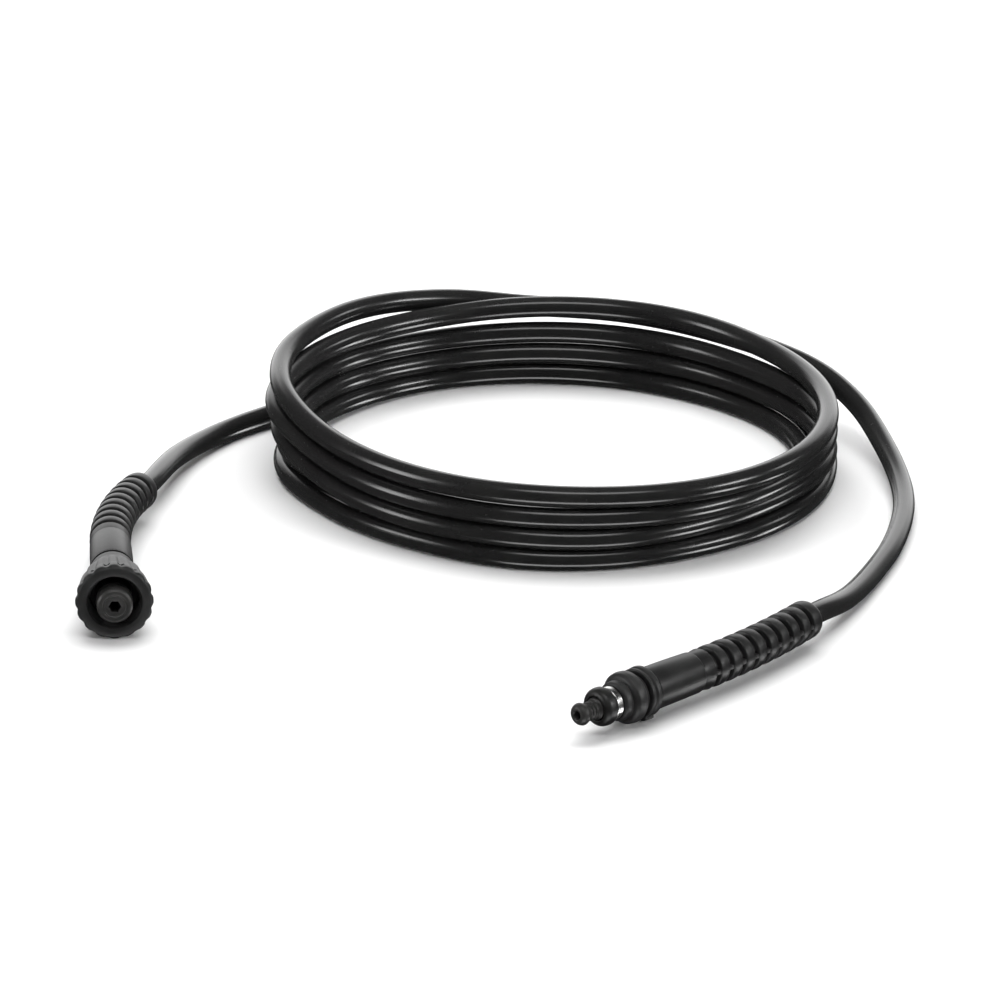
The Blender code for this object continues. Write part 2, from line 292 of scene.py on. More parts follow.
@dataclass(frozen=True)
class TurnedFinish(Finish):
    """A finish with fine rings round the piece, as turning or a turned mould leaves."""

    ring_pitch: float = 0.00045
    ring_depth: float = 0.00001

    def surface(self, graph: Graph) -> dict:
        """Rings: a sine wave of the distance along the outline, uneven by a slow noise.

        Args:
            graph: The material's graph.

        Returns:
            Socket names and wires.
        """
        flat = graph.node("ShaderNodeTexCoord", {}, {}, "UV")
        along = graph.node("ShaderNodeSeparateXYZ", {}, {"Vector": flat}, "X")
        place = graph.node("ShaderNodeTexCoord", {}, {}, "Object")
        clouds = graph.noise(place, 160.0, 3.0)
        rings = (along * (FULL_TURN / self.ring_pitch) + clouds * 2.0).sine() * 0.5 + 0.5
        return {
            "Base Color": graph.tint(clouds.between(0.35, 0.65), self.low, self.high),
            "Roughness": self.roughness + (clouds - 0.5) * 0.14 + rings * 0.05,
            "Normal": graph.relief(rings, self.ring_depth, 0.6),
        }


# Surfaces


def soften(outline: Sequence[tuple[float, float]], cut: float, steps: int = 5) -> np.ndarray:
    """Rounds the corners of a closed outline.

    Each corner C gives way to the curve (1-s)^2 A + 2s(1-s) C + s^2 B, with A and B on its two sides, `cut`
    away from it and never past 45 percent of the side.

    Args:
        outline: Points of (along, radius) in millimetres, in order.
        cut: Millimetres taken from each side of a corner.
        steps: Points in place of each corner.

    Returns:
        The rounded outline in metres, one row for each point.
    """
    corner = np.asarray(outline, float) * MM
    before = np.roll(corner, 1, axis=0) - corner
    after = np.roll(corner, -1, axis=0) - corner
    sides = [np.linalg.norm(side, axis=1, keepdims=True) for side in (before, after)]
    start = corner + before / sides[0] * np.minimum(cut * MM, 0.45 * sides[0])
    end = corner + after / sides[1] * np.minimum(cut * MM, 0.45 * sides[1])
    s = np.linspace(0.0, 1.0, steps)[None, :, None]
    rounded = (1 - s) ** 2 * start[:, None] + 2 * s * (1 - s) * corner[:, None] + s**2 * end[:, None]
    return rounded.reshape(-1, 2)


def natural_spline(places: np.ndarray, guides: np.ndarray, wanted: np.ndarray) -> np.ndarray:
    """Values of the smoothest curve through guide values.

    A cubic between each pair of guides, with equal slope and bend where two meet and no bend at the ends. The
    bends come from the usual tridiagonal system.

    Args:
        places: Where the guides are, rising.
        guides: Their values, one row each.
        wanted: Where the curve is read.

    Returns:
        The curve's values there.
    """
    gap = np.diff(places)
    slope = np.diff(guides, axis=0) / gap[:, None]
    count = len(places)
    system = np.eye(count)
    inner = np.arange(1, count - 1)
    system[inner, inner - 1] = gap[:-1]
    system[inner, inner] = 2 * (gap[:-1] + gap[1:])
    system[inner, inner + 1] = gap[1:]
    sides = np.zeros_like(guides)
    sides[1:-1] = 6 * np.diff(slope, axis=0)
    bend = np.linalg.solve(system, sides)
    span = np.clip(np.searchsorted(places, wanted, side="right") - 1, 0, count - 2)
    left = (wanted - places[span])[:, None]
    right = (places[span + 1] - wanted)[:, None]
    width = gap[span][:, None]
    straight = (guides[span] * right + guides[span + 1] * left) / width
    curved = bend[span] * (right**3 / width - width * right)
    curved = curved + bend[span + 1] * (left**3 / width - width * left)
    return straight + curved / 6


def distance_along(points: np.ndarray) -> np.ndarray:
    """Distance from the first point to each point, along the line through them."""
    return np.concatenate([[0.0], np.cumsum(np.linalg.norm(np.diff(points, axis=0), axis=1))])


def build_piece(name: str, grid: np.ndarray, along: np.ndarray, ring: bool,
                finish: Finish) -> bpy.types.Object:
    """Makes one closed piece from a grid whose columns go round.

    Args:
        name: The piece's name.
        grid: Places, rows by columns by three.
        along: The first texture coordinate of each row, and of the first row again where rows close.
        ring: True where the last row joins the first one, false where each end gets a flat cap.
        finish: The finish.

    Returns:
        The piece.
    """
    rows, columns = grid.shape[:2]
    spans = rows if ring else rows - 1
    row, column = np.meshgrid(np.arange(spans), np.arange(columns), indexing="ij")
    low, high = row * columns, (row + 1) % rows * columns
    right = (column + 1) % columns
    quads = np.stack([low + column, low + right, high + right, high + column], axis=-1).reshape(-1, 4)
    u = np.stack([along[row], along[row], along[row + 1], along[row + 1]], axis=-1).reshape(-1, 4)
    v = np.stack([column, column + 1, column + 1, column], axis=-1).reshape(-1, 4) / columns
    points = grid.reshape(-1, 3)
    corners = points[quads]
    halves = [np.cross(corners[:, 1], corners[:, 2]), np.cross(corners[:, 2], corners[:, 3])]
    volume = sum(float(np.sum(corners[:, 0] * half)) for half in halves)
    caps = [] if ring else [list(range(columns))[::-1], list(range((rows - 1) * columns, rows * columns))]
    if volume < 0:
        quads, u, v = quads[:, ::-1], u[:, ::-1], v[:, ::-1]
        caps = [cap[::-1] for cap in caps]
    mesh = bpy.data.meshes.new(name)
    mesh.from_pydata(points, [], quads.tolist() + caps)
    flat = np.zeros((len(mesh.loops), 2))
    flat[: quads.size] = np.stack([u.ravel(), v.ravel()], axis=-1)
    mesh.uv_layers.new(name="UVMap").data.foreach_set("uv", flat.ravel())
    mesh.shade_smooth()
    mesh.set_sharp_from_angle(angle=SHARP_EDGE)
    mesh.update()
    piece = bpy.data.objects.new(name, mesh)
    bpy.context.scene.collection.objects.link(piece)
    mesh.materials.append(finish.material())
    return piece


@dataclass(frozen=True)
class Lie:
    """How a fitting lies: its mouth, its direction, and the arc that it follows beyond `bend_start`."""

    mouth: tuple[float, float, float]
    heading: float
    bend: float
    tilt: float = 0.0
    bend_start: float = 0.0660
    bend_end: float = 0.1440

    def place(self, local: np.ndarray) -> np.ndarray:
        """Carries points of the straight fitting to where they lie.

        A point at distance s past bend_start turns by s / R about the arc's centre, R away towards the side
        that the fitting bends to. X is left, Y up and Z back along the fitting.

        Args:
            local: Points of the straight fitting, any shape with three in the last axis.

        Returns:
            The same points in the frame.
        """
        angle, tilt = np.radians(self.bend), np.radians(self.tilt)
        radius = (self.bend_end - self.bend_start) / abs(angle)
        towards = np.array([np.copysign(np.cos(tilt), angle), -np.sin(tilt), 0.0])
        across = np.array([-towards[1], towards[0], 0.0])
        turn = np.maximum(local[..., 2] - self.bend_start, 0.0) / radius
        reach = radius - local @ towards
        bent = (radius - reach * np.cos(turn))[..., None] * towards + (local @ across)[..., None] * across
        bent[..., 2] = self.bend_start + reach * np.sin(turn)
        straight = local[..., 2:] <= self.bend_start
        bent = np.where(straight, local, bent)
        heading = np.radians(self.heading)
        back = np.array([np.cos(heading), np.sin(heading), 0.0])
        up = np.array([0.0, 0.0, 1.0])
        turned = bent @ np.stack([np.cross(up, back), up, back])
        return turned + np.asarray(self.mouth)

    def revolve(self, along: np.ndarray, radius: np.ndarray) -> np.ndarray:
        """Places of a surface round the fitting's axis.

        The point at column angle a is (r cos a, r sin a, z).

        Args:
            along: Distance from the mouth, one for each row.
            radius: One for each row, or one for each row and column.

        Returns:
            The grid in the frame.
        """
        angle = column_angles(radius.shape[1])
        depth = np.broadcast_to(along[:, None], radius.shape)
        return self.place(np.stack([radius * np.cos(angle), radius * np.sin(angle), depth], axis=-1))


def column_angles(columns: int) -> np.ndarray:
    """Angles of the columns round an axis, from the left and by way of up."""
    return np.arange(columns) * (FULL_TURN / columns)


def ring_piece(name: str, lie: Lie, profile: np.ndarray, finish: Finish, relief: np.ndarray | float = 0.0,
               columns: int = 96) -> bpy.types.Object:
    """A piece turned about a fitting's axis from a closed outline.

    Args:
        name: The piece's name.
        lie: The fitting that it belongs to.
        profile: Rows of (along, radius) in metres.
        finish: The finish.
        relief: Added to the radius, rows by columns, or nothing.
        columns: Points round the axis.

    Returns:
        The piece.
    """
    radius = profile[:, 1:] + np.zeros((1, columns)) + relief
    grid = lie.revolve(profile[:, 0], radius)
    along = distance_along(np.vstack([profile, profile[:1]]))
    return build_piece(name, grid, along, True, finish)


def window(value: np.ndarray, low: float, high: float, edge: float) -> np.ndarray:
    """1 between low and high, 0 outside, with straight ramps of length edge outside them."""
    return np.clip((value - low) / edge + 1, 0, 1) * np.clip((high - value) / edge + 1, 0, 1)


# Sub-assemblies


@dataclass
class BendProtector:
    """Rubber sleeve with nine grooves, small webs across them at both sides, and a rounded end."""

    name: str
    node: str
    lie: Lie
    start: float
    finish: Finish
    sleeve_radius: float = 9.0
    sleeve_end_radius: float = 8.6
    rib_end_radius: float = 8.1
    groove_depth: float = 2.2
    groove_width: float = 2.8
    groove_pitch: float = 7.75
    grooves: int = 9
    first_groove: float = 72.0
    bend_start: float = 66.0
    end: float = 144.0
    bore: float = 4.8
    stem_bore: float = 6.5
    hose_start: float = 60.3
    web_width: float = 1.7
    web_below: float = 0.5
    columns: int = 120

    def outline(self) -> tuple[np.ndarray, np.ndarray]:
        """Outer line, rounded end, and the way back through the bore.

        Each groove has softly rounded lips and floor, and each rib a crown of a tenth of a millimetre.

        Returns:
            Rows of (along, radius) and the groove's depth at each row, in millimetres.
        """
        lips = np.array([-0.55, -0.25, -0.05, 0.08, 0.30, 0.70, 1.40])
        depth = np.array([0.0, 0.04, 0.18, 0.70, 0.95, 1.0, 1.0])
        lips = np.concatenate([lips, self.groove_width - lips[-2::-1]])
        depth = np.concatenate([depth, depth[-2::-1]])
        fronts = self.first_groove + self.groove_pitch * np.arange(self.grooves)
        crown = fronts + self.groove_width + (self.groove_pitch - self.groove_width) / 2
        along = np.concatenate([(fronts[:, None] + lips).ravel(), crown[:-1]])
        deep = np.concatenate([np.tile(depth, self.grooves), np.zeros(self.grooves - 1)])
        order = np.argsort(along)
        along, deep = along[order], deep[order]
        share = np.clip((along - self.first_groove) / (fronts[-1] - self.first_groove), 0, 1)
        rib = self.sleeve_end_radius + (self.rib_end_radius - self.sleeve_end_radius) * share
        rib = rib + 0.12 * np.isin(along, crown)
        sleeve = soften([(self.start, self.stem_bore), (self.start, self.sleeve_radius),
                         (self.bend_start - 14, self.sleeve_radius - 0.1),
                         (self.bend_start, self.sleeve_end_radius),
                         (self.bend_start, self.stem_bore)], 0.8)[5:-5] / MM
        tail = np.array([(-2.6, 8.08), (-1.7, 7.96), (-0.9, 7.68), (-0.35, 7.25), (-0.05, 6.6), (0.0, 5.9),
                         (-0.05, 5.2), (-0.3, 4.85), (-0.8, self.bore)]) + (self.end, 0.0)
        inside = np.linspace(self.end - 6, self.hose_start + 1, 12)
        back = np.concatenate([
            np.stack([inside, np.full_like(inside, self.bore)], axis=1),
            [(self.hose_start, self.bore), (self.hose_start, self.stem_bore), (self.start, self.stem_bore)],
        ])
        rows = np.concatenate([sleeve, np.stack([along, rib], axis=1), tail, back])
        groove = np.concatenate([np.zeros(len(sleeve)), deep, np.zeros(len(tail) + len(back))])
        return rows, groove

    def build(self) -> bpy.types.Object:
        """Builds the protector; a web leaves only its top edge below the ribs in each groove.

        Returns:
            The piece.
        """
        rows, groove = self.outline()
        angle = column_angles(self.columns)
        off_side = np.abs(angle - np.pi * np.round(angle / np.pi))
        web = window(off_side * self.rib_end_radius, -1, self.web_width / 2, 0.35)
        depth = self.groove_depth + (self.web_below - self.groove_depth) * web
        relief = -groove[:, None] * depth[None, :] * MM
        piece = ring_piece(self.name, self.lie, rows * MM, self.finish, relief, self.columns)
        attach(piece, Body.HOSE.value)
        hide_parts(self.node)
        return piece


@dataclass
class ScrewUnion:
    """Coupling nut on its nipple, at the hose's pump end."""

    lie: Lie
    plastic: Finish
    nylon: Finish
    lobes: int = 16
    columns: int = 256
    outside_rows: int = 30
    bore_radius: float = 11.0
    thread_pitch: float = 1.5
    thread_depth: float = 0.75
    thread_start: float = 1.1
    thread_end: float = 13.4
    thread_step: float = 0.25
    pocket: tuple[float, float] = (4.1, 7.3)
    pocket_depth: float = 1.5
    hole_corner: float = 2.6
    hole_radius: float = 2.45

    def nut(self) -> bpy.types.Object:
        """Nut: lobes fade from the rim to the collar, with a pocket behind the rim between each two.

        The radius is the station's, less the valley (half of 1 - cos of sixteen times the angle, squared)
        times the station's valley depth, less the pocket. Inside, a triangle wave that climbs one pitch a
        turn makes the thread.

        Returns:
            The piece.
        """
        outer = np.array([
            (0.0, 11.7, 0.0), (0.0, 13.0, 0.0), (0.0, 14.7, 0.0), (0.12, 15.05, 0.05), (0.45, 15.35, 0.2),
            (1.0, 15.55, 0.45), (1.35, 15.9, 0.6), (1.8, 16.0, 0.7), (3.3, 16.0, 0.7), (3.75, 15.9, 0.7),
            (4.0, 15.75, 0.8), (4.15, 15.7, 0.8), (5.0, 15.6, 0.9), (6.0, 15.45, 1.0), (7.1, 15.3, 1.05),
            (7.3, 15.25, 1.05), (7.45, 15.2, 1.05), (9.0, 15.0, 1.2), (12.0, 14.6, 1.25), (15.0, 14.15, 1.25),
            (18.0, 13.6, 1.2), (21.0, 12.8, 1.0), (24.0, 11.8, 0.75), (27.0, 10.75, 0.45), (29.5, 9.95, 0.2),
            (31.5, 9.5, 0.0), (33.0, 9.4, 0.0), (34.8, 9.4, 0.0), (35.05, 9.25, 0.0), (35.1, 8.3, 0.0),
            (36.0, 8.2, 0.0), (37.1, 8.3, 0.0), (37.15, 9.15, 0.0), (37.35, 9.3, 0.0), (37.8, 9.25, 0.0),
            (38.0, 9.0, 0.0), (38.0, 6.5, 0.0), (30.0, 6.5, 0.0), (17.8, 6.5, 0.0), (17.8, 11.0, 0.0),
        ])
        thread = np.arange(self.thread_end, self.thread_start, -self.thread_step)
        bore = np.stack([thread, np.full_like(thread, self.bore_radius), thread * 0], axis=1)
        lead = np.array([(1.0, 11.0, 0.0), (0.5, 11.15, 0.0), (0.12, 11.4, 0.0)])
        rows = np.concatenate([outer, bore, lead])
        angle = column_angles(self.columns)
        phase = self.lobes * (angle + np.pi / 2)
        valley = (0.5 - 0.5 * np.cos(phase)) ** 2
        spot = np.clip((-np.cos(phase) - 0.30) * 5.0, 0, 1)
        along, number = rows[:, 0], np.arange(len(rows))
        hollow = (number < self.outside_rows) * window(along, *self.pocket, 0.12) * (along > 4.05)
        wave = along[:, None] / self.thread_pitch - angle / FULL_TURN
        ridge = 1 - np.abs(2 * (wave % 1) - 1)
        is_thread = (number >= len(outer)) & (number < len(outer) + len(thread))
        fade = np.clip((along - self.thread_start) / 1.5, 0, 1) * np.clip(self.thread_end - along, 0, 1)
        relief = -rows[:, 2:] * valley - self.pocket_depth * hollow[:, None] * spot
        relief = relief - (is_thread * fade)[:, None] * ridge * self.thread_depth
        profile = rows[:, :2] * MM
        piece = ring_piece("coupling_nut", self.lie, profile, self.plastic, relief * MM, self.columns)
        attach(piece, Body.NUT.value)
        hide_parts("union_nut")
        return piece

    def nipple(self) -> bpy.types.Object:
        """Nipple: rounded edge, a shallow ring in its face, a six-sided hole, and the flange inside the nut.

        In the hole the radius is that of a hexagon: its flat's distance over the cosine of the angle from
        the nearest flat.

        Returns:
            The piece.
        """
        face = [
            (-4.5, 2.7), (-4.5, 4.4), (-4.25, 4.6), (-4.25, 5.0), (-4.5, 5.2), (-4.5, 6.5), (-3.5, 7.4),
            (1.6, 7.4), (1.8, 6.7), (4.0, 6.7), (4.2, 7.4), (13.5, 7.4), (13.5, 10.2), (17.5, 10.2),
            (17.5, 6.2), (60.0, 6.2), (60.0, 2.45), (20.0, 2.45), (5.0, 2.45), (-2.0, 2.45), (-4.2, 2.45),
        ]
        rows = soften(face, 0.25, 4)
        columns = 96
        angle = column_angles(columns)
        flat = self.hole_corner * np.cos(np.pi / 6)
        hexagon = flat / np.cos((angle % (np.pi / 3)) - np.pi / 6)
        in_hole = (rows[:, 1] < 3.0 * MM) & (rows[:, 0] < 12 * MM)
        relief = in_hole[:, None] * (hexagon - self.hole_radius) * MM
        piece = ring_piece("nipple", self.lie, rows, self.nylon, relief, columns)
        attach(piece, Body.HOSE.value)
        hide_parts("union_stem")
        return piece


@dataclass
class GunPlug:
    """Stepped plug at the gun end: bead, seal, bright ring, body and lock collar."""

    lie: Lie
    plastic: Finish
    nylon: Finish
    rubber: Finish
    steel: Finish
    tab_angle: float = 250.0
    tab_width: float = 3.4
    tab_reach: float = 1.1
    tab_span: tuple[float, float] = (34.4, 38.5)
    collar_radius: float = 10.5

    def turned(self, name: str, node: str, outline: Sequence[tuple[float, float]], cut: float,
               finish: Finish) -> bpy.types.Object:
        """One turned piece of the plug.

        Args:
            name: The piece's name.
            node: The solid that it replaces.
            outline: Its closed outline in millimetres.
            cut: How far the corners are rounded.
            finish: Its finish.

        Returns:
            The piece.
        """
        piece = ring_piece(name, self.lie, soften(outline, cut), finish)
        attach(piece, Body.HOSE.value)
        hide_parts(node)
        return piece

    def stem(self) -> bpy.types.Object:
        """Bored bead, ringed neck, and the shank under the seal."""
        outline = [
            (0.9, 1.6), (0.1, 1.9), (0.0, 3.0), (0.9, 4.2), (2.4, 4.75), (4.2, 4.1), (5.1, 3.4), (6.0, 3.3),
            (6.2, 3.9), (6.9, 3.9), (7.1, 3.3), (7.8, 3.3), (8.0, 3.9), (8.7, 3.9), (8.9, 3.4), (9.7, 3.4),
            (10.2, 4.6), (33.4, 4.6), (33.4, 6.2), (60.0, 6.2), (60.0, 1.6),
        ]
        return self.turned("plug_bead", "plug_stem", outline, 0.55, self.nylon)

    def seal(self) -> bpy.types.Object:
        """Fat domed seal."""
        outline = [
            (16.5, 4.9), (10.6, 4.9), (10.5, 5.7), (11.0, 6.9), (12.2, 7.75), (13.8, 8.0), (15.4, 7.95),
            (16.5, 7.2),
        ]
        return self.turned("dome_seal", "plug_seal", outline, 0.6, self.rubber)

    def ring(self) -> bpy.types.Object:
        """Bright ring."""
        outline = [(16.8, 4.9), (16.8, 6.5), (17.2, 6.9), (19.8, 6.9), (20.3, 6.5), (20.3, 4.9)]
        return self.turned("bright_ring", "plug_ring", outline, 0.3, self.steel)

    def body(self) -> bpy.types.Object:
        """Nose ring, fat disc and neck."""
        outline = [
            (20.7, 4.9), (20.7, 7.2), (21.3, 8.1), (23.9, 8.2), (24.5, 7.9), (24.7, 7.9), (24.9, 9.2),
            (25.9, 10.5), (27.9, 10.8), (29.9, 10.6), (31.0, 9.6), (31.1, 8.7), (33.1, 8.6), (33.1, 4.9),
        ]
        return self.turned("plug_disc", "plug_body", outline, 0.45, self.plastic)

    def lock_collar(self) -> bpy.types.Object:
        """Two-ridged collar with the stop tab that reaches out below it.

        Returns:
            The piece.
        """
        outline = [
            (33.7, 6.5), (33.7, 9.6), (34.0, 10.2), (35.0, 10.2), (35.5, 9.6), (36.0, 9.7), (36.5, 10.4),
            (38.2, 10.5), (38.8, 9.9), (39.2, 9.3), (39.4, 9.2), (39.4, 6.5),
        ]
        rows = soften(outline, 0.3)
        columns = 192
        off = (column_angles(columns) - np.radians(self.tab_angle)) * self.collar_radius
        across = window(off, -self.tab_width / 2, self.tab_width / 2, 0.3)
        along = window(rows[:, 0] / MM, *self.tab_span, 0.2) * (rows[:, 1] > 9.0 * MM)
        lift = ((self.collar_radius + self.tab_reach) * MM - rows[:, 1:]) * along[:, None] * across
        piece = ring_piece("lock_collar", self.lie, rows, self.plastic, lift, columns)
        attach(piece, Body.HOSE.value)
        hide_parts("plug_lock_collar")
        return piece

    def build(self) -> list[bpy.types.Object]:
        """All five pieces, tip first."""
        return [self.stem(), self.seal(), self.ring(), self.body(), self.lock_collar()]


@dataclass
class HoseRun:
    """The hose: one length, from the plug through the coil to the union."""

    union: Lie
    plug: Lie
    finish: Finish
    radius: float = 0.0046
    coil_radius: float = 0.1165
    centre: tuple[float, float] = (0.0226, 0.0891)
    hose_start: float = 0.0606
    exit_run: float = 0.1500
    step: float = 0.0024
    fine_points: int = 12000
    smoothing: float = 0.005
    smoothing_steps: int = 8
    sides: int = 28
    union_tail: Points = (
        (-0.1667, -0.0194, 0.0105),
        (-0.1614, 0.0019, 0.0084),
        (-0.1533, 0.0233, 0.0062),
        (-0.1448, 0.0391, 0.0050),
    )
    plug_tail: Points = (
        (0.1158, -0.1719, 0.0079),
        (0.1236, -0.1518, 0.0058),
        (0.1309, -0.1295, 0.0049),
        (0.1384, -0.1044, 0.0047),
        (0.1436, -0.0795, 0.0047),
        (0.1468, -0.0535, 0.0048),
        (0.1465, -0.0225, 0.0060),
        (0.1428, 0.0015, 0.0090),
    )
    union_wrap: Points = (
        (159.7, 0.0288, 0.0047),
        (153.8, 0.0232, 0.0047),
        (146.5, 0.0175, 0.0047),
        (139.5, 0.0142, 0.0047),
        (134.2, 0.0134, 0.0047),
    )
    plug_wrap: Points = (
        (8.2, 0.0234, 0.0120),
        (15.9, 0.0218, 0.0156),
        (24.3, 0.0196, 0.0198),
        (31.8, 0.0168, 0.0234),
        (38.5, 0.0137, 0.0256),
        (52.0, 0.0116, 0.0274),
        (67.1, 0.0110, 0.0298),
        (82.0, 0.0111, 0.0316),
        (97.0, 0.0112, 0.0336),
        (106.8, 0.0110, 0.0374),
        (115.0, 0.0105, 0.0400),
        (123.9, 0.0098, 0.0422),
        (136.8, 0.0085, 0.0438),
        (148.4, 0.0067, 0.0436),
        (160.5, 0.0052, 0.0428),
        (172.1, 0.0021, 0.0418),
    )
    first_angle: float = 180.0
    turn_step: float = 20.0
    reaches: Sequence[Sequence[float]] = (
        (116.4, 109.3, 105.6, 106.9, 111.7, 115.8, 119.6, 120.9, 118.5, 116.0, 114.7, 115.2, 117.7, 119.0,
         118.8, 118.4, 118.1, 118.8),
        (118.9, 109.5, 106.5, 107.8, 111.8, 115.2, 116.8, 116.2, 116.0, 116.0, 114.2, 111.5, 114.9, 118.1,
         119.3, 120.2, 120.0, 117.8),
        (117.0, 109.5, 106.5, 107.8, 112.0, 115.1, 113.4, 112.0, 114.4, 116.0, 114.2, 112.3, 114.9, 117.4,
         119.3, 120.2, 120.1, 116.5),
        (114.0, 102.2, 96.6, 97.0, 102.2, 104.6, 104.0, 104.8, 105.8, 106.8, 109.5, 111.2, 113.7, 117.9,
         121.1, 122.0, 119.6, 117.3),
        (115.5, 108.3, 105.6, 106.5, 111.8, 113.9, 113.4, 114.3, 115.0, 116.0, 119.3, 121.0, 123.3, 127.3,
         130.5, 131.6),
    )
    heights: Sequence[Sequence[float]] = (
        (41.0, 36.2, 33.3, 32.4, 32.7, 32.4, 32.0, 32.0, 32.2, 32.5, 32.7, 33.3, 34.6, 35.3, 35.3, 34.6, 35.0,
         34.4),
        (31.8, 26.6, 23.8, 23.0, 23.0, 23.0, 22.5, 22.4, 22.9, 23.0, 23.2, 23.5, 23.2, 23.5, 23.7, 23.9, 24.9,
         25.0),
        (22.4, 17.2, 14.5, 13.7, 13.8, 13.7, 13.8, 13.5, 13.8, 13.8, 13.7, 13.9, 13.8, 14.1, 14.2, 14.3, 15.2,
         15.8),
        (13.5, 10.9, 7.0, 4.6, 4.6, 4.6, 4.6, 4.6, 4.6, 4.6, 4.6, 4.6, 4.6, 4.6, 4.6, 4.6, 5.6, 6.4),
        (5.0, 4.6, 4.6, 4.6, 4.6, 4.6, 4.6, 4.6, 4.6, 4.6, 4.6, 4.6, 4.6, 4.6, 4.6, 4.6),
    )
    line: np.ndarray = field(default_factory=lambda: np.zeros((0, 3)))

    def polar(self, stations: Points) -> np.ndarray:
        """Places round the coil.

        Args:
            stations: Degrees round the coil, distance outside its radius, and height.

        Returns:
            The points.
        """
        degrees, outside, height = np.asarray(stations, float).T
        reach, around = self.coil_radius + outside, np.radians(degrees)
        x, y = self.centre[0] + reach * np.cos(around), self.centre[1] + reach * np.sin(around)
        return np.stack([x, y, height], axis=1)

    def inside(self, lie: Lie) -> np.ndarray:
        """Guide points inside a bend protector and just past its end, the stem's end first."""
        along = np.linspace(self.hose_start, self.exit_run, 7)
        return lie.place(np.stack([along * 0, along * 0, along], axis=1))

    def turns(self) -> np.ndarray:
        """Eighteen guide points a turn: each turn's distance from the middle and height, by even angles.

        Returns:
            The points between the two free ends.
        """
        stations = []
        for turn, (reaches, heights) in enumerate(zip(self.reaches, self.heights)):
            for i, (reach, height) in enumerate(zip(reaches, heights)):
                degrees = self.first_angle + 360.0 * turn + self.turn_step * i
                stations.append((degrees, reach * MM - self.coil_radius, height * MM))
        return self.polar(stations)

    def centreline(self) -> np.ndarray:
        """The whole route at even steps.

        A natural spline through all the guide points, with chord length as its parameter, then evened out
        by a bell curve of 5 mm along it, so that no wiggle shows in the gloss.

        Returns:
            Points from the plug's stem to the union's.
        """
        shift = np.array([*self.centre, 0.0])
        guides = np.concatenate([
            self.inside(self.plug),
            np.asarray(self.plug_tail) + shift,
            self.polar(self.plug_wrap),
            self.turns(),
            self.polar(self.union_wrap)[::-1],
            (np.asarray(self.union_tail) + shift)[::-1],
            self.inside(self.union)[::-1],
        ])
        places = distance_along(guides)
        fine = natural_spline(places, guides, np.linspace(0.0, places[-1], self.fine_points))
        walked = distance_along(fine)
        even = np.linspace(0.0, walked[-1], round(walked[-1] / self.step) + 1)
        line = np.stack([np.interp(even, walked, axis) for axis in fine.T], axis=1)
        side = self.smoothing_steps
        spread = np.arange(-side, side + 1)
        weights = np.exp(-0.5 * (spread * self.step / self.smoothing) ** 2)
        padded = np.concatenate([2 * line[:1] - line[side:0:-1], line, 2 * line[-1:] - line[-2:-side - 2:-1]])
        smooth = [np.convolve(axis, weights / weights.sum(), "valid") for axis in padded.T]
        return np.stack(smooth, axis=1)

    def build(self) -> bpy.types.Object:
        """The hose as a tube.

        Each ring of points lies across the route: its first arm is level, the second stands on both.

        Returns:
            The piece.
        """
        self.line = self.centreline()
        tangent = np.gradient(self.line, axis=0)
        tangent /= np.linalg.norm(tangent, axis=1, keepdims=True)
        level = np.cross((0.0, 0.0, 1.0), tangent)
        level /= np.linalg.norm(level, axis=1, keepdims=True)
        upright = np.cross(tangent, level)
        angle = column_angles(self.sides)[None, :, None]
        arm = level[:, None] * np.cos(angle) + upright[:, None] * np.sin(angle)
        grid = self.line[:, None] + arm * self.radius
        piece = build_piece("hose", grid, distance_along(self.line), False, self.finish)
        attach(piece, Body.HOSE.value)
        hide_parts("hose_coil", "hose_tail_union", "hose_tail_plug")
        return piece

    def declare(self) -> float:
        """Returns:
            Its length.
        """
        line = self.line[::-1]
        length = float(distance_along(line)[-1])
        return length


@dataclass(frozen=True)
class Panel:
    """A bright patch of the surroundings: where its middle is, how far it reaches, and its strength."""

    azimuth: float
    elevation: float
    half_width: float
    half_height: float
    strength: float
    edge: float = 6.0


